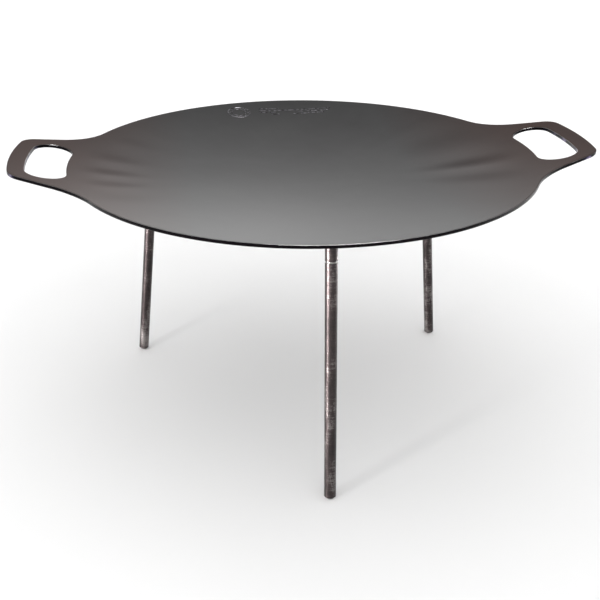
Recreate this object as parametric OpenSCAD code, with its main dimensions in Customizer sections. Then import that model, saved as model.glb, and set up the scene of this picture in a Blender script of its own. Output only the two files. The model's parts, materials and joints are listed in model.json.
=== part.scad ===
// Campfire griddle and fire pan. A shallow dish pressed from one round plate
// carries two open handles cut from the same sheet. It stands on three splayed
// legs, each screwed into a short stub welded under the dish.
// Millimetres. +Z is up, the feet stand on Z = 0 and the handles lie along X.

/* [Pan] */
// Diameter of the round plate
disc_d = 580; // [480:5:700]
// Thickness of the plate
plate_t = 4; // [2:0.5:6]
// Depth of the pressed dish
dish_depth = 29; // [15:1:45]
// Straight land between the pressed curve and the rim
rim_land = 4; // [2:1:10]

/* [Handles] */
// Reach of each handle past the rim
handle_reach = 70; // [58:1:90]
// Half of a handle's width, where its sides would cross the rim
handle_half_w = 98; // [88:1:118]
// Slant of a handle's sides towards its tip, in degrees
handle_taper = 22; // [12:1:28]
// Radius of a handle's outer corners
handle_corner_r = 25; // [12:1:38]
// Radius of the hollow where a handle flows into the rim
handle_fillet_r = 100; // [40:5:140]

/* [Hand slots] */
// Steel between the rim circle and the slot
slot_gap = 2.5; // [1:0.5:8]
// Width of the grip bar outside the slot
grip_w = 20; // [14:1:28]
// Length of the slot, from one round end to the other
slot_len = 132; // [90:1:158]

/* [Legs] */
// Diameter of the round bar of the legs and stubs
leg_d = 14; // [12:1:20]
// Length of each leg's bar
leg_len = 287; // [180:1:400]
// Length of each stub below the dish
stub_len = 31; // [28:1:45]
// Lean of each leg from upright, in degrees
leg_splay = 7; // [0:1:12]
// Diameter of the circle on which the legs meet the dish
leg_circle_d = 436; // [320:2:500]
// Chamfer on the foot of each leg
foot_chamfer = 2; // [0.5:0.5:4]
// Chamfer on the two bars where a leg meets its stub
joint_chamfer = 1; // [0.5:0.25:2]

/* [Threads] */
// Outer diameter of the stud's thread
thread_d = 8; // [6:1:8]
// How far the stud stands out of the leg
thread_reach = 15; // [10:1:18]
// How far the stud is set into the leg
thread_grip = 18; // [12:1:30]
// Room left past each end of the stud in its tapped hole
tap_room = 4; // [2:0.5:6]
// Clearance all round between a thread and its hole
thread_gap = 0.05; // [0.02:0.01:0.1]

/* [Welds] */
// Leg length of the fillet weld around each stub
weld_w = 4; // [2:0.5:6]

/* [Hidden] */

// Directions of the three legs about Z
FRONT = -90;
REAR_RIGHT = 30;
REAR_LEFT = 150;

// Segments of a bar or weld and of the rim, and of the dish's and the outlines' arcs
round_fn = 96;
rim_fn = 240;
dish_n = 24;
arc_n = 10;

// Dish: the plate's top face is a sphere out to press_r, then a straight cone
disc_r = disc_d / 2;
press_r = disc_r - rim_land;
rim_angle = 2 * atan(dish_depth / press_r);
top_r = press_r / sin(rim_angle);
under_r = top_r + plate_t;
handle_r = disc_r + handle_reach;
flange_len = 1.1 * (handle_r - press_r) / cos(rim_angle); // reaches past the handles' tips

// Legs: each axis runs through the underside at leg_r, and the foot sets the height
leg_r = leg_circle_d / 2;
bar_r = leg_d / 2;
foot_drop = max((bar_r - foot_chamfer) * sin(leg_splay),
                bar_r * sin(leg_splay) - foot_chamfer * cos(leg_splay));
seat_z = (stub_len + leg_len) * cos(leg_splay) + foot_drop;
dish_cz = seat_z + sqrt(pow(under_r, 2) - pow(leg_r, 2));
above_all = dish_cz + under_r;

// Threads, and the cone that a drill leaves at the bottom of a hole
drill_tip = 118;
hole_r = thread_d / 2 + thread_gap;
drill_cone = hole_r / tan(drill_tip / 2);

// How far a stub and its weld are drawn into the dish before they are coped to it
cope = 2 * leg_d * sin(rim_angle);

// Where a weld's face bulges, as a part of its leg length: 0.5 would be a flat face
weld_crown = 0.62;

// Upper side of a handle: the line of all points p with side_n * p = side_off
side_dir = 90 - handle_taper;
side_n = polar(1, side_dir);
side_off = [disc_r, handle_half_w] * side_n;
// How far a handle's outline starts inside the rim, so that the two join
rim_overlap = 0.3;

function polar(r, a) = r * [cos(a), sin(a)];
// Direction in which a circle of radius r about the middle crosses the line at off
function crossing(r, off) = side_dir - acos(off / r);
function arc(c, r, from, to, n) = [for (i = [0:n]) c + polar(r, from + (to - from) * i / n)];
// The inner points of an arc about the middle, without its two ends
function inner_arc(r, from, to, n) = [for (i = [1:n - 1]) polar(r, from + (to - from) * i / n)];
function reversed(points) = [for (i = [len(points) - 1:-1:0]) points[i]];
function mirrored(points) = [for (p = reversed(points)) [p.x, -p.y]];

// Outline of one handle: the hollow that leads out of the rim, a slanted side, a
// rounded corner and the tip, then the same below
module handle_outline() {
    hollow_dir = crossing(disc_r + handle_fillet_r, side_off + handle_fillet_r);
    hollow_c = polar(disc_r + handle_fillet_r, hollow_dir);
    hollow = arc(hollow_c, handle_fillet_r, hollow_dir + 180, side_dir + 180, arc_n);
    inside_rim = polar(disc_r - rim_overlap, hollow_dir);
    corner_dir = crossing(handle_r - handle_corner_r, side_off - handle_corner_r);
    corner_c = polar(handle_r - handle_corner_r, corner_dir);
    corner = arc(corner_c, handle_corner_r, side_dir, corner_dir, arc_n);
    upper = concat([inside_rim], [for (i = [1:arc_n]) hollow[i]], corner);
    tip = inner_arc(handle_r, corner_dir, -corner_dir, 2 * arc_n);
    polygon(concat([[0, 0]], upper, tip, mirrored(upper)));
}

// Outline of one hand slot, bent round the middle, with full round ends
module slot_outline() {
    in_r = disc_r + slot_gap;
    out_r = handle_r - grip_w;
    end_r = (out_r - in_r) / 2;
    end_dir = asin((slot_len / 2 - end_r) / (in_r + end_r));
    upper = arc(polar(in_r + end_r, end_dir), end_r, end_dir + 180, end_dir, 2 * arc_n);
    inner = inner_arc(in_r, -end_dir, end_dir, 2 * arc_n);
    outer = inner_arc(out_r, end_dir, -end_dir, 2 * arc_n);
    polygon(concat(inner, upper, outer, mirrored(upper)));
}

// Everything inside the outline of the flat blank, up to the given height
module blank(h) {
    difference() {
        union() {
            cylinder(r = disc_r, h = h, $fn = rim_fn);
            for (turn = [0, 180]) rotate(turn) linear_extrude(h) handle_outline();
        }
        for (turn = [0, 180]) rotate(turn) linear_extrude(h) slot_outline();
    }
}

// The dish's curve at radius r from its centre, from the middle out to the land
function dish_curve(r) = arc([0, dish_cz], r, -90, rim_angle - 90, dish_n);

// Section through the plate: the pressed curve, then the straight flange
module plate_section() {
    flange = polar(flange_len, rim_angle);
    top = dish_curve(top_r);
    under = dish_curve(under_r);
    polygon(concat(top, [top[dish_n] + flange, under[dish_n] + flange], reversed(under)));
}

// Everything above the dish's underside, to cope the stubs and welds to it
module above_underside() {
    under = dish_curve(under_r);
    lift = [0, 2 * dish_depth];
    rotate_extrude($fn = rim_fn) polygon(concat(under, [under[dish_n] + lift, under[0] + 2 * lift]));
}

// The dish and both handles: one pressed plate
module pan() {
    color("#4f4b4a") intersection() {
        rotate_extrude($fn = rim_fn) plate_section();
        blank(above_all);
    }
}

// Puts a leg's own frame in place: its origin lies on the dish's underside
// and its axis leans outwards as it goes down
module at_leg(turn) {
    rotate([0, 0, turn]) translate([leg_r, 0, seat_z]) rotate([0, -leg_splay, 0]) children();
}

// A round bar from z = 0 upwards with a chamfer on each end
module bar(r, len, low_chamfer, high_chamfer) {
    rotate_extrude($fn = round_fn) {
        polygon([[0, 0], [r - low_chamfer, 0], [r, low_chamfer], [r, len - high_chamfer],
                 [r - high_chamfer, len], [0, len]]);
    }
}

// A tapped hole from z = 0 upwards, with its drill point
module tapped_hole(depth) {
    translate([0, 0, -1]) cylinder(r = hole_r, h = depth + 1, $fn = round_fn);
    translate([0, 0, depth]) cylinder(r1 = hole_r, r2 = 0, h = drill_cone, $fn = round_fn);
}

// Short stub of bar, tapped from below and coped to the dish
module stub(turn) {
    color("#332d2c") difference() {
        at_leg(turn) translate([0, 0, -stub_len]) {
            difference() {
                bar(bar_r, stub_len + cope, joint_chamfer, 0);
                tapped_hole(thread_reach + tap_room);
            }
        }
        above_underside();
    }
}

// Fillet weld between a stub and the dish, slightly crowned
module weld(turn) {
    crown = weld_crown * weld_w;
    color("#454040") difference() {
        at_leg(turn) rotate_extrude($fn = round_fn) {
            polygon([[bar_r, -weld_w], [bar_r + crown, -crown], [bar_r + weld_w, 0],
                     [bar_r + weld_w, cope], [bar_r, cope]]);
        }
        above_underside();
    }
}

// Threaded stud, set into the leg and reaching up into the stub
module stud(turn) {
    color("#8d8b88") at_leg(turn) translate([0, 0, -stub_len - thread_grip]) {
        bar(thread_d / 2, thread_grip + thread_reach, joint_chamfer, joint_chamfer);
    }
}

// Leg: a round bar, drilled and tapped in its upper end
module leg(turn) {
    color("#3a3130") at_leg(turn) difference() {
        translate([0, 0, -stub_len - leg_len]) bar(bar_r, leg_len, foot_chamfer, joint_chamfer);
        translate([0, 0, -stub_len]) mirror([0, 0, 1]) tapped_hole(thread_grip + tap_room);
    }
}

pan();
stub(FRONT);  // stub_front
stub(REAR_RIGHT);  // stub_rear_right
stub(REAR_LEFT);  // stub_rear_left
weld(FRONT);  // weld_front
weld(REAR_RIGHT);  // weld_rear_right
weld(REAR_LEFT);  // weld_rear_left
stud(FRONT);  // stud_front
stud(REAR_RIGHT);  // stud_rear_right
stud(REAR_LEFT);  // stud_rear_left
leg(FRONT);  // leg_front
leg(REAR_RIGHT);  // leg_rear_right
leg(REAR_LEFT);  // leg_rear_left
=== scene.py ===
# Campfire griddle pan: a dished steel plate with two open handles, on three
# round-bar legs that screw into stubs welded under the dish. Metres, +Z up.
import json
import math
import bmesh
import bpy
from mathutils import Euler, Matrix, Vector
from mathutils.geometry import delaunay_2d_cdt


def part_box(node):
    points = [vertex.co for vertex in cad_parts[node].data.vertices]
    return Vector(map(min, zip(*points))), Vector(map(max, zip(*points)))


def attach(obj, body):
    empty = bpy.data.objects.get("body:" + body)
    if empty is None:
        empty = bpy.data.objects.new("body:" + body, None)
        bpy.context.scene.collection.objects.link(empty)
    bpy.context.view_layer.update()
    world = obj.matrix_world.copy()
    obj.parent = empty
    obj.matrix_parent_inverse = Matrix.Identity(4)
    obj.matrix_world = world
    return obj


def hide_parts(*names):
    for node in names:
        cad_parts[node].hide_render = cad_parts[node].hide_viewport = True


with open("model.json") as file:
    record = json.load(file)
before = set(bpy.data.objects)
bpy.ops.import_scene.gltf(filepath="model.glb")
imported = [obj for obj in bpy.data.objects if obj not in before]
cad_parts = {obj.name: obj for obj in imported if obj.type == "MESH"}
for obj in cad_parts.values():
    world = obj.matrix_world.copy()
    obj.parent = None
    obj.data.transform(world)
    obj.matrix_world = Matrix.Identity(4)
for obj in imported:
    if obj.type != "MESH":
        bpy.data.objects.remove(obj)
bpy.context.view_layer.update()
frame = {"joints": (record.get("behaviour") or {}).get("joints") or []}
bpy.ops.object.select_all(action="DESELECT")

# ---------------------------------------------------------------- Camera
# Stands in front of the pan, a little to the left, and looks down into the dish.
# The shift moves the picture sideways without turning the view.
camera_data = bpy.data.cameras.new("camera")
camera_data.sensor_width = 36
camera_data.lens = 54
camera_data.shift_x = 0.06
camera = bpy.data.objects.new("camera", camera_data)
bpy.context.scene.collection.objects.link(camera)
heading, downward, roll = math.radians(5.675), math.radians(26.245), math.radians(-0.423)
level = Euler((math.pi / 2 - downward, 0, -heading)).to_matrix()
rolled = level @ Matrix.Rotation(roll, 3, "Z")
camera.matrix_world = Matrix.Translation((-0.1582, -1.0863, 0.6722)) @ rolled.to_4x4()
bpy.context.scene.camera = camera

# ---------------------------------------------------------------- Floor
# A plain matt studio floor. Its colour is painted light grey within half a metre of the pan's
# middle as painted shade round it, and fades to nearly white further out as painted light.


def new_material(name, metallic=0.0, roughness=0.5):
    """A material with its node tree, ready for its colour and surface."""
    material = bpy.data.materials.new(name)
    material.use_nodes = True
    surface = material.node_tree.nodes["Principled BSDF"]
    surface.inputs["Metallic"].default_value = metallic
    surface.inputs["Roughness"].default_value = roughness
    return material, surface


def add_node(material, kind, settings=None, **links):
    """One node: settings go on the node. Links set or join its inputs, by name or as i0, i1 by number."""
    node = material.node_tree.nodes.new(kind)
    for name, value in (settings or {}).items():
        setattr(node, name, value)
    for name, value in links.items():
        numbered = name[0] == "i" and name[1:].isdigit()
        socket = node.inputs[int(name[1:])] if numbered else node.inputs[name]
        if isinstance(value, bpy.types.NodeSocket):
            material.node_tree.links.new(value, socket)
        else:
            socket.default_value = value
    return node


def join(material, output, socket):
    """Joins one node's output to another's input."""
    material.node_tree.links.new(output, socket)


def noise(material, vector, scale, detail=3.0, roughness=0.5):
    """Noise from 0 to 1, with scale in patches per metre."""
    node = add_node(material, "ShaderNodeTexNoise", Vector=vector, Scale=scale, Detail=detail,
                    Roughness=roughness)
    return node.outputs["Fac"]


def ramp(material, factor, *stops):
    """A colour ramp through stops of (position, colour)."""
    node = add_node(material, "ShaderNodeValToRGB", Fac=factor)
    elements = node.color_ramp.elements
    while len(elements) < len(stops):
        elements.new(0.5)
    for element, (position, colour) in zip(elements, stops):
        element.position = position
        element.color = (*colour, 1)
    return node.outputs["Color"]


def math_node(material, operation, first, second=0.0):
    """One sum on two values."""
    return add_node(material, "ShaderNodeMath", {"operation": operation}, i0=first, i1=second).outputs[0]


def map_range(material, value, start, end, low=0.0, high=1.0):
    """Turns values from start to end into values from low to high."""
    node = add_node(material, "ShaderNodeMapRange", Value=value)
    for name, level in (("From Min", start), ("From Max", end), ("To Min", low), ("To Max", high)):
        node.inputs[name].default_value = level
    return node.outputs[0]


def mix_colours(material, share, first, second, blend="MIX"):
    """Blends a share from 0 to 1 of the second colour into the first."""
    settings = {"data_type": "RGBA", "blend_type": blend}
    return add_node(material, "ShaderNodeMix", settings, i0=share, i6=first, i7=second).outputs[2]


def stretched(material, vector, scale):
    """A place with each direction multiplied by its own scale, to draw a pattern out."""
    return add_node(material, "ShaderNodeMapping", Vector=vector, Scale=scale).outputs[0]


def relief(material, surface, height, strength, distance):
    """Gives a surface fine relief that follows height."""
    bump = add_node(material, "ShaderNodeBump", Strength=strength, Distance=distance, Height=height)
    join(material, bump.outputs[0], surface.inputs["Normal"])


bpy.ops.mesh.primitive_plane_add(size=12)
floor = bpy.context.object
floor.name = "floor"
floor_material, floor_surface = new_material("studio_floor", roughness=0.75)
floor_place = add_node(floor_material, "ShaderNodeTexCoord").outputs["Object"]
floor_spots = noise(floor_material, floor_place, 3)
# Painted shade: the floor's colour is greyer near the pan and paler far from it.
painted_shade_grey = ramp(floor_material, floor_spots, (0.2, (0.73, 0.73, 0.73)), (0.8, (0.75, 0.75, 0.75)))
from_middle = add_node(floor_material, "ShaderNodeVectorMath", {"operation": "LENGTH"}, i0=floor_place)
shade_fade = map_range(floor_material, from_middle.outputs["Value"], 0.5, 1.8)
floor_tone = mix_colours(floor_material, shade_fade, painted_shade_grey, (0.95, 0.95, 0.95, 1))
join(floor_material, floor_tone, floor_surface.inputs["Base Color"])
floor.data.materials.append(floor_material)

# ---------------------------------------------------------------- Light
# The room is bright near the horizon and dim above and to the sides. Three lights fall
# on matt faces: overhead, in front and at the left. Three show only as highlights: a low
# strip at each side, which only the bars catch, and a panel high behind the camera.
world = bpy.data.worlds.new("studio")
bpy.context.scene.world = world
world.use_nodes = True
room = world.node_tree.nodes["Background"]
direction = add_node(world, "ShaderNodeTexCoord").outputs["Generated"]
towards = add_node(world, "ShaderNodeSeparateXYZ", Vector=direction).outputs
sideways = math_node(world, "ABSOLUTE", math_node(world, "SUBTRACT", towards["X"], 0.11))
off_horizon = math_node(world, "ADD", sideways, towards["Z"])
room_tones = ((0.0, 1.0), (0.14, 0.62), (0.34, 0.25), (0.52, 0.19), (0.75, 0.07))
room_stops = [(position, (tone, tone, tone)) for position, tone in room_tones]
join(world, ramp(world, off_horizon, *room_stops), room.inputs["Color"])
room.inputs["Strength"].default_value = 2.4

# There is no wall. Where the camera looks past the floor it sees one plain pale tone
# in place of the room's.
backdrop = add_node(world, "ShaderNodeBackground", Color=(0.97, 0.97, 0.97, 1))
seen_directly = add_node(world, "ShaderNodeLightPath").outputs["Is Camera Ray"]
backdrop_or_room = add_node(world, "ShaderNodeMixShader", i0=seen_directly, i1=room.outputs[0],
                            i2=backdrop.outputs[0])
join(world, backdrop_or_room.outputs[0], world.node_tree.nodes["World Output"].inputs["Surface"])


def soft_light(name, place, target, width, height, power, seen_in):
    """An area light turned towards target. It lights only matt faces or only glossy ones."""
    data = bpy.data.lights.new(name, "AREA")
    data.shape = "RECTANGLE"
    data.size = width
    data.size_y = height
    data.energy = power
    light = bpy.data.objects.new(name, data)
    bpy.context.scene.collection.objects.link(light)
    light.location = place
    light.rotation_mode = "QUATERNION"
    light.rotation_quaternion = (Vector(target) - Vector(place)).to_track_quat("-Z", "Y")
    light.visible_glossy = seen_in == "glossy"
    light.visible_diffuse = seen_in == "matt"
    return light


soft_light("overhead", (0.2, 0.7, 3.4), (0.2, 0.7, 0), 14.0, 14.0, 830, "matt")
soft_light("front_fill", (0, -4.0, 1.2), (0, 0, 0.1), 4.0, 2.0, 60, "matt")
soft_light("left_soft", (-1.9, -1.5, 0.45), (0, -0.2, 0.2), 0.25, 0.8, 26, "matt")
bar_pieces = bpy.data.collections.new("bar_pieces")
streak = soft_light("leg_streak", (-1.58, -0.86, 0.45), (0, -0.2, 0.45), 0.2, 0.9, 400, "glossy")
edge_light = soft_light("leg_edge", (1.6, 0.45, 0.45), (0, -0.1, 0.45), 0.2, 0.9, 110, "glossy")
for light in (streak, edge_light):
    light.light_linking.receiver_collection = bar_pieces
soft_light("corner_line", (0.4, -1.7, 2.6), (0, 0, 0.3), 2.0, 1.0, 75, "glossy")
bpy.context.scene.view_settings.view_transform = "Standard"

# ---------------------------------------------------------------- Dished plate
# One 4 mm steel plate, cut to a disc with a handle and a hand slot at each side,
# then pressed into a shallow dish. Its edges are cut walls with a broken corner.
pan_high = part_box("pan")[1]
rim_r = pan_high.y
tip_r = pan_high.x
plate_t = 0.004
rim_land = 0.004
press_r = rim_r - rim_land
dish_depth = 0.029
rim_angle = 2 * math.atan(dish_depth / press_r)
top_r = press_r / math.sin(rim_angle)
dish_centre_z = pan_high.z + top_r * math.cos(rim_angle) - (tip_r - press_r) * math.tan(rim_angle)
handle_half_w = 0.098
handle_taper = 22
corner_r = 0.025
hollow_r = 0.100
slot_gap = 0.0025
grip_w = 0.020
slot_in_r = rim_r + slot_gap
slot_out_r = tip_r - grip_w
slot_len = 0.132
edge_r = 0.0006
ripple_height = 0.0006


def polar(r, degrees):
    """The point at radius r from the middle, in the given direction."""
    return Vector((r * math.cos(math.radians(degrees)), r * math.sin(math.radians(degrees))))


def arc(centre, r, start, stop, steps):
    """Points along an arc about a centre, with both its ends."""
    return [centre + polar(r, start + (stop - start) * i / steps) for i in range(steps + 1)]


def mirrored(points):
    """The same points on the other side of the X axis, in reverse order."""
    return [Vector((p.x, -p.y)) for p in reversed(points)]


side_dir = 90 - handle_taper
side_off = Vector((rim_r, handle_half_w)).dot(polar(1, side_dir))


def crossing(r, off):
    """Direction in which a circle about the middle meets the line of a handle's side."""
    return side_dir - math.degrees(math.acos(off / r))


def plate_outline(inset):
    """The whole outline, moved inwards by inset: two handles joined by two stretches of rim."""
    hollow_dir = crossing(rim_r + hollow_r, side_off + hollow_r)
    corner_dir = crossing(tip_r - corner_r, side_off - corner_r)
    hollow_centre = polar(rim_r + hollow_r, hollow_dir)
    hollow = arc(hollow_centre, hollow_r + inset, hollow_dir + 180, side_dir + 180, 24)
    corner = arc(polar(tip_r - corner_r, corner_dir), corner_r - inset, side_dir, corner_dir, 20)
    tip = arc(Vector((0, 0)), tip_r - inset, corner_dir, -corner_dir, 40)[1:-1]
    right_handle = hollow + corner + tip + mirrored(hollow + corner)
    front_rim = arc(Vector((0, 0)), rim_r - inset, -hollow_dir, hollow_dir - 180, 140)[1:-1]
    half = right_handle + front_rim
    return half + [-p for p in half]


def slot_outline(inset, side):
    """One hand slot's outline, grown by inset. side is 1 for the right handle and -1 for the left."""
    end_r = (slot_out_r - slot_in_r) / 2
    end_dir = math.degrees(math.asin((slot_len / 2 - end_r) / (slot_in_r + end_r)))
    upper = arc(polar(slot_in_r + end_r, end_dir), end_r + inset, end_dir + 180, end_dir, 28)
    inner = arc(Vector((0, 0)), slot_in_r - inset, -end_dir, end_dir, 30)[1:-1]
    outer = arc(Vector((0, 0)), slot_out_r + inset, end_dir, -end_dir, 30)[1:-1]
    return [side * p for p in inner + upper + outer + mirrored(upper)]


def inside(point, loop):
    """Whether a point lies inside a closed loop."""
    hit = False
    for a, b in zip(loop, loop[1:] + loop[:1]):
        if (a.y > point.y) != (b.y > point.y):
            if point.x < a.x + (point.y - a.y) * (b.x - a.x) / (b.y - a.y):
                hit = not hit
    return hit


def ripple(x, y):
    """Low radial waves that the press leaves in the dish beside each handle."""
    r = math.hypot(x, y)
    off_axis = math.degrees(math.atan2(y, abs(x)))
    angle = math.radians(off_axis)
    middle, spread, share, waves = (0.220, 0.050, 1.0, 16) if x > 0 else (0.243, 0.034, 0.5, 26)
    fan, plain_rim, fade_width = 27, 0.006, 0.03
    reach = share * math.exp(-((r - middle) / spread) ** 2) * math.exp(-(off_axis / fan) ** 2)
    reach *= max(0.0, min(1.0, (rim_r - plain_rim - r) / fade_width))
    wave = angle * waves + 0.9 * math.sin(angle * 7 + 1)
    return ripple_height * reach * (math.sin(wave) + 0.12 * math.sin(2 * wave + 0.6))


def top_z(x, y):
    """Height of the plate's upper face."""
    r = math.hypot(x, y)
    if r > press_r:
        return dish_centre_z - top_r * math.cos(rim_angle) + (r - press_r) * math.tan(rim_angle)
    return dish_centre_z - math.sqrt(top_r ** 2 - r ** 2) + ripple(x, y)


def under_z(x, y):
    """Height of the plate's lower face."""
    r = math.hypot(x, y)
    under_r = top_r + plate_t
    bend_r = under_r * math.sin(rim_angle)
    if r > bend_r:
        return dish_centre_z - under_r * math.cos(rim_angle) + (r - bend_r) * math.tan(rim_angle)
    return dish_centre_z - math.sqrt(under_r ** 2 - r ** 2) + ripple(x, y)


def points_round(r):
    """How many points a ring of radius r takes, fewer towards the middle."""
    for beyond, points in ((0.09, 360), (0.04, 180), (0.012, 60)):
        if r > beyond:
            return points
    return 24


# The flat blank: points on rings, inside the outline and clear of its edges.
clear_of_edge = 0.0045
inner_loop_step = 0.002
edge_loops = [plate_outline, lambda inset: slot_outline(inset, 1), lambda inset: slot_outline(inset, -1)]
flat, fixed_edges = [], []
for loop in edge_loops:
    for inset in (edge_r, edge_r + inner_loop_step):
        points = loop(inset)
        first = len(flat)
        flat += points
        fixed_edges += [(first + i, first + (i + 1) % len(points)) for i in range(len(points))]
clear_loops = [loop(clear_of_edge) for loop in edge_loops]
ring_step = 0.0065
flat.append(Vector((0, 0)))
for ring in range(1, int(tip_r / ring_step)):
    r = ring * ring_step
    around_ring = points_round(r)
    for i in range(around_ring):
        p = polar(r, 360 * (i + 0.5) / around_ring)
        if r > rim_r - clear_of_edge and not inside(p, clear_loops[0]):
            continue
        if r > rim_r - 0.02 and (inside(p, clear_loops[1]) or inside(p, clear_loops[2])):
            continue
        flat.append(p)
sheet_points, _, sheet_faces, origins, _, _ = delaunay_2d_cdt(flat, fixed_edges, [], 1, 1e-7)
holes = edge_loops[1](edge_r), edge_loops[2](edge_r)


def in_slot(face):
    """Whether a face of the blank lies in one of the two hand slots."""
    centre = sum((sheet_points[i] for i in face), Vector((0, 0))) / len(face)
    return abs(centre.x) > 0.25 and (inside(centre, holes[0]) or inside(centre, holes[1]))


sheet_faces = [face for face in sheet_faces if not in_slot(face)]
place_of = {source: i for i, sources in enumerate(origins) for source in sources}

# The pressing: the blank's upper and lower skins, joined by rounded cut edges.
plate_mesh = bpy.data.meshes.new("dished_plate")
count = len(sheet_points)
corners = [(p.x, p.y, top_z(p.x, p.y)) for p in sheet_points]
corners += [(p.x, p.y, under_z(p.x, p.y)) for p in sheet_points]
faces = [list(face) for face in sheet_faces]
faces += [[i + count for i in reversed(face)] for face in sheet_faces]
edge_steps = 4
start = 0
for loop in edge_loops:
    size = len(loop(0))
    rows = [[place_of[start + i] for i in range(size)]]
    levels = [(math.radians(90 * k / edge_steps), 1) for k in range(1, edge_steps + 1)]
    levels += [(math.radians(90 * k / edge_steps), -1) for k in range(edge_steps, 0, -1)]
    for turn, face_up in levels:
        drop = edge_r * (1 - math.cos(turn))
        rows.append(range(len(corners), len(corners) + size))
        for p in loop(edge_r * (1 - math.sin(turn))):
            z = top_z(p.x, p.y) - drop if face_up > 0 else under_z(p.x, p.y) + drop
            corners.append((p.x, p.y, z))
    rows.append([i + count for i in rows[0]])
    for upper, lower in zip(rows, rows[1:]):
        for i in range(size):
            faces.append([upper[i], upper[(i + 1) % size], lower[(i + 1) % size], lower[i]])
    start += 2 * size
plate_mesh.from_pydata(corners, [], faces)
plate = bpy.data.objects.new("dished_plate", plate_mesh)
bpy.context.scene.collection.objects.link(plate)


def edit(piece):
    """Makes piece the only selected object and enters edit mode with all of it selected."""
    if bpy.context.object and bpy.context.object.mode != "OBJECT":
        bpy.ops.object.mode_set(mode="OBJECT")
    bpy.ops.object.select_all(action="DESELECT")
    piece.select_set(True)
    bpy.context.view_layer.objects.active = piece
    bpy.ops.object.mode_set(mode="EDIT")
    bpy.ops.mesh.select_all(action="SELECT")


def finish_mesh(piece, angle=35):
    """Merges doubles, turns the faces outwards and shades smooth across shallow angles."""
    edit(piece)
    bpy.ops.mesh.remove_doubles(threshold=1e-6)
    bpy.ops.mesh.normals_make_consistent(inside=False)
    bpy.ops.object.mode_set(mode="OBJECT")
    bpy.ops.object.shade_smooth_by_angle(angle=math.radians(angle))


finish_mesh(plate, 40)


# Hot-rolled sheet, oiled and burnt in: dark, satin and slightly mottled, with fine grain.
# Faint streaks that run out from the middle are painted reflections of the pressed ripples,
# and towards the handles the colour turns browner and darker: a brown haze and painted shade.
pan_steel, pan_surface = new_material("pan_steel", metallic=1.0)
pan_place = add_node(pan_steel, "ShaderNodeTexCoord").outputs["Object"]
pan_xyz = add_node(pan_steel, "ShaderNodeSeparateXYZ", Vector=pan_place).outputs
pan_angle = math_node(pan_steel, "ARCTAN2", pan_xyz["Y"], pan_xyz["X"])
pan_plan = add_node(pan_steel, "ShaderNodeCombineXYZ", X=pan_xyz["X"], Y=pan_xyz["Y"]).outputs[0]
plan_length = add_node(pan_steel, "ShaderNodeVectorMath", {"operation": "LENGTH"}, i0=pan_plan)
pan_radius = plan_length.outputs["Value"]
around = math_node(pan_steel, "SINE", pan_angle), math_node(pan_steel, "COSINE", pan_angle)
spokes = add_node(pan_steel, "ShaderNodeCombineXYZ", X=around[0], Y=around[1],
                  Z=math_node(pan_steel, "MULTIPLY", pan_radius, 1.5)).outputs[0]
# Painted reflection: streaks in the colour that stand in for light on the pressed ripples.
painted_streaks = noise(pan_steel, spokes, 14, 4, 0.6)
blotches = noise(pan_steel, pan_place, 9, 4, 0.55)
grain = noise(pan_steel, pan_place, 900, 2)
outer = map_range(pan_steel, pan_radius, 0.10, 0.30, high=0.30)
mottle_and_painted_streaks = add_node(pan_steel, "ShaderNodeMix", {"data_type": "FLOAT"}, i0=outer, i2=blotches,
                  i3=painted_streaks).outputs[0]
pan_colour = ramp(pan_steel, mottle_and_painted_streaks, (0.32, (0.132, 0.130, 0.131)), (0.5, (0.149, 0.148, 0.149)),
                  (0.68, (0.168, 0.168, 0.167)))
# Painted shade, with a brown haze: the colour darkens and browns towards the handles.
haze_and_shade_share = map_range(pan_steel, math_node(pan_steel, "ABSOLUTE", pan_xyz["X"]), 0.14, 0.32)
brown_haze_and_shade = (0.80, 0.42, 0.33, 1)
hazed_and_shaded_colour = mix_colours(pan_steel, haze_and_shade_share, pan_colour, brown_haze_and_shade, "MULTIPLY")
join(pan_steel, hazed_and_shaded_colour, pan_surface.inputs["Base Color"])
join(pan_steel, map_range(pan_steel, mottle_and_painted_streaks, 0.0, 1.0, 0.29, 0.36), pan_surface.inputs["Roughness"])
relief(pan_steel, pan_surface, grain, 0.2, 0.00003)

# The cut wall of the plate is nearly black. On the handles it has patches of blue and violet
# heat tint, painted bright as glints: partly real tint, partly painted highlight.
cut_edge, cut_surface = new_material("cut_edge", metallic=1.0, roughness=0.3)
cut_place = add_node(cut_edge, "ShaderNodeTexCoord").outputs["Object"]
along_x = add_node(cut_edge, "ShaderNodeSeparateXYZ", Vector=cut_place).outputs["X"]
off_centre = math_node(cut_edge, "ABSOLUTE", along_x)
on_handle = map_range(cut_edge, off_centre, rim_r + 0.01, tip_r - 0.02)
# Painted glints: bright heat-tint patches on the handles' cut wall.
tint_and_painted_glints = math_node(cut_edge, "MULTIPLY", noise(cut_edge, cut_place, 60, 3), on_handle)
cut_colour = ramp(cut_edge, tint_and_painted_glints, (0.46, (0.006, 0.005, 0.006)), (0.56, (0.03, 0.025, 0.05)),
                  (0.66, (0.26, 0.22, 0.34)))
join(cut_edge, cut_colour, cut_surface.inputs["Base Color"])
striae = noise(cut_edge, stretched(cut_edge, cut_place, (900, 900, 40)), 1, 2)
relief(cut_edge, cut_surface, striae, 0.4, 0.0003)

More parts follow.
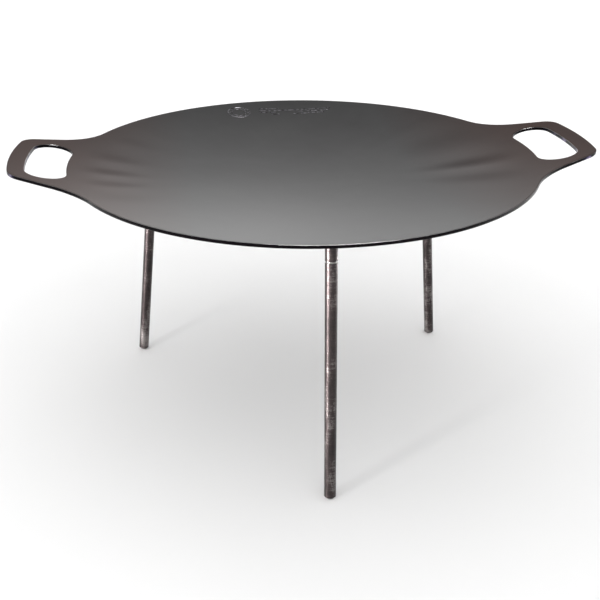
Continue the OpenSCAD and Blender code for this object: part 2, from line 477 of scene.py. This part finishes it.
# Above it runs the broken corner, rubbed bright by handling.
bright_corner, corner_surface = new_material("bright_corner", metallic=1.0, roughness=0.28)
corner_place = add_node(bright_corner, "ShaderNodeTexCoord").outputs["Object"]
rubbed = noise(bright_corner, corner_place, 70, 4)
corner_colour = ramp(bright_corner, rubbed, (0.35, (0.30, 0.29, 0.29)), (0.6, (0.68, 0.67, 0.67)))
join(bright_corner, corner_colour, corner_surface.inputs["Base Color"])
for finish in (pan_steel, cut_edge, bright_corner):
    plate.data.materials.append(finish)
wall_top, corner_top = 0.35, 0.93
for face in plate.data.polygons:
    if -0.9 < face.normal.z < wall_top:
        face.material_index = 1
    elif wall_top <= face.normal.z < corner_top:
        face.material_index = 2

# ---------------------------------------------------------------- Stamped mark
# A plain ornament stamped near the rear rim: two rings with a ring of dots, and
# rows of short bars beside them. It stands 0.3 mm proud of the dish.
mark_centre = Vector((-0.061, 0.250))
bar_rows = ((0.262, -0.030, ((0.000, 0.030),)),
            (0.2555, -0.030, ((0.000, 0.018), (0.022, 0.060), (0.064, 0.108))),
            (0.2490, -0.030, ((0.000, 0.012), (0.016, 0.026), (0.056, 0.066), (0.070, 0.106))),
            (0.2425, -0.030, ((0.018, 0.030), (0.050, 0.058), (0.062, 0.098))))
ring_sizes = ((0.0165, 0.0009), (0.0105, 0.0006))
dot_count, dot_circle_r, dot_r = 8, 0.0135, 0.0011
bar_half_w, bar_half_h, bar_corner = 0.0009, 0.0006, 0.0003
mark_pieces = []
for radius, wire in ring_sizes:
    bpy.ops.mesh.primitive_torus_add(location=(*mark_centre, 0), major_radius=radius, minor_radius=wire,
                                     major_segments=64, minor_segments=8)
    mark_pieces.append(bpy.context.object)
for i in range(dot_count):
    dot = mark_centre + polar(dot_circle_r, 360 / dot_count * i)
    bpy.ops.mesh.primitive_uv_sphere_add(location=(*dot, 0), radius=dot_r, segments=12, ring_count=8)
    mark_pieces.append(bpy.context.object)
for y, x, bars in bar_rows:
    for low, high in bars:
        half_size = ((high - low) / 2, bar_half_w, bar_half_h)
        bpy.ops.mesh.primitive_cube_add(location=(x + (low + high) / 2, y, 0), scale=half_size)
        mark_pieces.append(bpy.context.object)
        edit(mark_pieces[-1])
        bpy.ops.mesh.subdivide(number_cuts=3)
        bpy.ops.mesh.bevel(offset=bar_corner, segments=2)
        bpy.ops.object.mode_set(mode="OBJECT")
bpy.ops.object.select_all(action="DESELECT")
for piece in mark_pieces:
    piece.select_set(True)
bpy.context.view_layer.objects.active = mark_pieces[0]
bpy.ops.object.join()
mark = bpy.context.object
bpy.ops.object.transform_apply(location=True, rotation=True, scale=True)
mark_height = 0.0003
for vertex in mark.data.vertices:
    x, y, z = vertex.co
    vertex.co.z = top_z(x, y) + max(-mark_height, min(mark_height, 0.5 * z))
mark_steel, mark_surface = new_material("mark_steel", metallic=1.0, roughness=0.42)
mark_place = add_node(mark_steel, "ShaderNodeTexCoord").outputs["Object"]
# Worn bright in patches, partly painted glints on the raised mark.
mark_wear_and_glints = noise(mark_steel, mark_place, 260, 3)
mark_colour = ramp(mark_steel, mark_wear_and_glints, (0.38, (0.10, 0.09, 0.10)), (0.6, (0.50, 0.49, 0.52)))
join(mark_steel, mark_colour, mark_surface.inputs["Base Color"])
mark.data.materials.clear()
mark.data.materials.append(mark_steel)
mark.name = "stamped_mark"
finish_mesh(mark, 40)
for piece in (plate, mark):
    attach(piece, "pan")
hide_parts("pan")

# ---------------------------------------------------------------- Legs and stubs
# Dark rolled round bar, 14 mm across. A short stub under the dish and the leg
# below it are both drilled and tapped, with bright machined chamfers.
bar_r = 0.007
stub_len = 0.031
leg_len = 0.287
joint_chamfer = 0.001
foot_chamfer = 0.002
hole_r = 0.00405
hole_lip = 0.0008
drill_cone = 0.003
cone_tip = 0.02
stub_hole, leg_hole = 0.019, 0.022
stub_top = 0.0015
across_chamfer = 1.4142
leg_places = {}
for joint in frame["joints"]:
    if joint["type"] == "hinge":
        up = -Vector(joint["axis"])
        turn = up.to_track_quat("Z", "Y").to_matrix().to_4x4()
        side = joint["child"].removeprefix("leg_")
        leg_places[side] = Matrix.Translation(joint["pos_m"]) @ turn


def pick(kind, test):
    """In edit mode, selects only the faces or edges that pass a test of the part and its middle."""
    bpy.ops.mesh.select_mode(type="FACE" if kind == "faces" else "EDGE")
    bpy.ops.mesh.select_all(action="DESELECT")
    shape = bmesh.from_edit_mesh(bpy.context.object.data)
    for part in getattr(shape, kind):
        middle = sum((v.co for v in part.verts), Vector()) / len(part.verts)
        part.select_set(test(part, middle))
    bmesh.update_edit_mesh(bpy.context.object.data)


def round_bar(name, low, high, low_chamfer, high_chamfer):
    """A solid bar along its own Z, with a chamfer on each rim that has one."""
    middle = (0, 0, (low + high) / 2)
    bpy.ops.mesh.primitive_cylinder_add(vertices=72, radius=bar_r, depth=high - low, location=middle)
    bpy.ops.object.transform_apply(location=True)
    piece = bpy.context.object
    piece.name = name
    for level, chamfer in ((low, low_chamfer), (high, high_chamfer)):
        if chamfer:
            edit(piece)
            pick("edges", lambda e, m: all(abs(v.co.z - level) < 1e-6 for v in e.verts))
            bpy.ops.mesh.bevel(offset=chamfer * across_chamfer, offset_type="WIDTH", segments=1)
            bpy.ops.object.mode_set(mode="OBJECT")
    return piece


def drill(piece, level, depth):
    """Drills a hole with a cone at its bottom into the flat end at level.

    A negative depth drills upwards."""
    edit(piece)
    pick("faces", lambda f, m: abs(m.z - level) < 1e-6 and abs(f.normal.z) > 0.9)
    end_faces = [f for f in bmesh.from_edit_mesh(piece.data).faces if f.select]
    rim = max(v.co.xy.length for f in end_faces for v in f.verts)
    bpy.ops.mesh.inset(thickness=rim - hole_r - hole_lip)
    bpy.ops.mesh.inset(thickness=hole_lip)
    cone = math.copysign(drill_cone, depth)
    bpy.ops.mesh.extrude_region_move(TRANSFORM_OT_translate={"value": (0, 0, -depth)})
    bpy.ops.mesh.extrude_region_move(TRANSFORM_OT_translate={"value": (0, 0, -cone)})
    bpy.ops.transform.resize(value=(cone_tip, cone_tip, 1))
    bpy.ops.object.mode_set(mode="OBJECT")


def keep_own_place(piece, name="bar"):
    """Stores each point's place along and around its own bar, for the finish to follow."""
    layer = piece.data.attributes.new(name, "FLOAT_VECTOR", "POINT")
    for point, vertex in zip(layer.data, piece.data.vertices):
        point.vector = vertex.co


# Rolled bar, oiled: brown-black with greyer worn patches, and a painted highlight that greys it
# towards the foot. The rollers leave fine marks round it, which draw out every highlight along the bar.
bar_steel, bar_surface = new_material("bar_steel", metallic=0.85)
bar_place = add_node(bar_steel, "ShaderNodeAttribute", {"attribute_name": "bar"}).outputs["Vector"]
patches = noise(bar_steel, stretched(bar_steel, bar_place, (70, 70, 28)), 1, 5, 0.65)
specks = noise(bar_steel, bar_place, 700, 3, 0.6)
roller_marks = noise(bar_steel, stretched(bar_steel, bar_place, (50, 50, 900)), 1, 4, 0.6)
bar_level = add_node(bar_steel, "ShaderNodeSeparateXYZ", Vector=bar_place).outputs["Z"]
# Painted highlight: the bar's colour greys towards the foot.
wear_and_painted_highlight = map_range(bar_steel, bar_level, -0.04, -0.30, high=0.07)
for pattern, share in ((patches, 0.55), (specks, 0.20), (roller_marks, 0.25)):
    wear_and_painted_highlight = math_node(bar_steel, "ADD", wear_and_painted_highlight, math_node(bar_steel, "MULTIPLY", pattern, share))
bar_colour = ramp(bar_steel, wear_and_painted_highlight, (0.44, (0.012, 0.008, 0.008)), (0.56, (0.026, 0.018, 0.018)),
                  (0.68, (0.16, 0.145, 0.14)))
join(bar_steel, bar_colour, bar_surface.inputs["Base Color"])
join(bar_steel, map_range(bar_steel, patches, 0.0, 1.0, 0.30, 0.42), bar_surface.inputs["Roughness"])
bar_surface.inputs["Coat Weight"].default_value = 0.3
bar_surface.inputs["Coat Roughness"].default_value = 0.25
relief(bar_steel, bar_surface, roller_marks, 0.6, 0.0005)

# Machined steel on the end faces and chamfers at the joint and in the drilled holes:
# bright, with the fine rings that a turning tool leaves. The foot keeps the bar's finish.
machined, machined_surface = new_material("machined_steel", metallic=1.0)
machined_place = add_node(machined, "ShaderNodeAttribute", {"attribute_name": "bar"}).outputs["Vector"]
turning = noise(machined, stretched(machined, machined_place, (60, 60, 5000)), 1, 3)
machined_colour = ramp(machined, turning, (0.3, (0.42, 0.41, 0.40)), (0.7, (0.66, 0.65, 0.63)))
join(machined, machined_colour, machined_surface.inputs["Base Color"])
join(machined, map_range(machined, turning, 0.0, 1.0, 0.2, 0.36), machined_surface.inputs["Roughness"])
relief(machined, machined_surface, turning, 0.3, 0.0001)


def dress_bar(piece, place, body, node):
    """Gives a bar its two finishes, sets it in its place and fastens it to its body."""
    keep_own_place(piece)
    bar_pieces.objects.link(piece)
    piece.data.materials.append(bar_steel)
    piece.data.materials.append(machined)
    for face in piece.data.polygons:
        ring = sum((piece.data.vertices[i].co.xy.length for i in face.vertices), 0) / len(face.vertices)
        if ring < bar_r - 1e-5 and abs(face.center.z + stub_len + leg_len) > 0.01:
            face.material_index = 1
    piece.data.transform(place)
    finish_mesh(piece, 30)
    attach(piece, body)
    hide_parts(node)


for side, place in leg_places.items():
    stub = round_bar("stub_bar_" + side, -stub_len, stub_top, joint_chamfer, 0)
    drill(stub, -stub_len, -stub_hole)
    dress_bar(stub, place, "pan", "stub_" + side)
    leg = round_bar("leg_bar_" + side, -stub_len - leg_len, -stub_len, foot_chamfer, joint_chamfer)
    drill(leg, -stub_len, leg_hole)
    dress_bar(leg, place, "leg_" + side, "leg_" + side)

# ---------------------------------------------------------------- Weld beads
# One bead of fillet weld runs round each stub in overlapping ripples. It is left
# as welded, with straw and blue heat tint.
weld_steel, weld_surface = new_material("weld_steel", metallic=1.0, roughness=0.34)
weld_place = add_node(weld_steel, "ShaderNodeTexCoord").outputs["Object"]
heat = noise(weld_steel, weld_place, 90, 3)
weld_colour = ramp(weld_steel, heat, (0.35, (0.11, 0.10, 0.10)), (0.5, (0.19, 0.16, 0.13)),
                   (0.62, (0.10, 0.11, 0.19)))
join(weld_steel, weld_colour, weld_surface.inputs["Base Color"])
relief(weld_steel, weld_surface, noise(weld_steel, weld_place, 1500, 3), 0.3, 0.0002)
bead_r = 0.0026
bead_circle_r = bar_r + 0.0008
ripples_round = 26
for side, place in leg_places.items():
    bpy.ops.mesh.primitive_torus_add(major_radius=bead_circle_r, minor_radius=bead_r,
                                     major_segments=8 * ripples_round, minor_segments=16)
    weld = bpy.context.object
    weld.name = "weld_bead_" + side
    for vertex in weld.data.vertices:
        turn = math.atan2(vertex.co.y, vertex.co.x)
        out = vertex.co.xy.length - bead_circle_r
        lag = 0.35 * out / bead_r
        ripple_edge = abs(math.sin(turn * ripples_round / 2 + lag))
        scallop = 1 + 0.10 * ripple_edge + 0.05 * math.sin(5 * turn + len(side))
        vertex.co.xy = vertex.co.xy.normalized() * (bead_circle_r + out * scallop)
        vertex.co.z *= scallop
    weld.data.transform(place)
    weld.data.materials.append(weld_steel)
    finish_mesh(weld, 60)
    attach(weld, "pan")
    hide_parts("weld_" + side)

# ---------------------------------------------------------------- Threaded studs
# A stud with an 8 mm thread of 1.25 mm pitch is fixed in the top of each leg and
# screws up into the stub. Each end narrows by a millimetre.
thread_r = 0.004
pitch = 0.00125
thread_depth = 0.00075
thread_grip, thread_reach = 0.018, 0.015
stud_low, stud_high = -stub_len - thread_grip, -stub_len + thread_reach
end_chamfer = 0.001
# One turn of the thread from crest to root, as (part of the pitch, part of the depth)
thread_shape = ((0.0, 0.0), (0.125, 0.0), (0.4375, 1.0), (0.6875, 1.0))
stud_steel, stud_surface = new_material("stud_steel", metallic=1.0, roughness=0.28)
stud_place = add_node(stud_steel, "ShaderNodeAttribute", {"attribute_name": "bar"}).outputs["Vector"]
oil = noise(stud_steel, stud_place, 400, 4)
stud_colour = ramp(stud_steel, oil, (0.35, (0.32, 0.30, 0.28)), (0.6, (0.6, 0.59, 0.57)))
join(stud_steel, stud_colour, stud_surface.inputs["Base Color"])
relief(stud_steel, stud_surface, oil, 0.2, 0.0001)
turns = round((stud_high - stud_low) / pitch)
for side, place in leg_places.items():
    # One side view of the thread, from one pitch below the stud to just past its top
    profile = []
    for i in range(turns + 2):
        z = stud_low + (i - 1) * pitch
        for rise, depth in thread_shape:
            profile.append((thread_r - thread_depth * depth, 0, z + rise * pitch))
    thread_mesh = bpy.data.meshes.new("threaded_stud_" + side)
    thread_mesh.from_pydata(profile, [(i, i + 1) for i in range(len(profile) - 1)], [])
    stud = bpy.data.objects.new("threaded_stud_" + side, thread_mesh)
    bpy.context.scene.collection.objects.link(stud)
    bpy.ops.object.select_all(action="DESELECT")
    stud.select_set(True)
    bpy.context.view_layer.objects.active = stud
    winding = stud.modifiers.new("winding", "SCREW")
    winding.axis = "Z"
    winding.angle = 2 * math.pi
    winding.screw_offset = pitch
    winding.steps = 48
    winding.render_steps = 48
    winding.use_merge_vertices = False
    bpy.ops.object.modifier_apply(modifier="winding")
    edit(stud)
    bpy.ops.mesh.remove_doubles(threshold=1e-5)
    bpy.ops.mesh.select_all(action="SELECT")
    bpy.ops.mesh.bisect(plane_co=(0, 0, stud_high), plane_no=(0, 0, 1), use_fill=True, clear_outer=True)
    bpy.ops.mesh.select_all(action="SELECT")
    bpy.ops.mesh.bisect(plane_co=(0, 0, stud_low), plane_no=(0, 0, 1), use_fill=True, clear_inner=True)
    bpy.ops.object.mode_set(mode="OBJECT")
    for vertex in stud.data.vertices:
        room_left = min(vertex.co.z - stud_low, stud_high - vertex.co.z)
        widest = thread_r - end_chamfer + max(0.0, room_left)
        if vertex.co.xy.length > widest:
            vertex.co.xy = vertex.co.xy.normalized() * widest
    keep_own_place(stud)
    stud.data.transform(place)
    stud.data.materials.append(stud_steel)
    finish_mesh(stud, 30)
    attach(stud, "stud_" + side)
    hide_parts("stud_" + side)
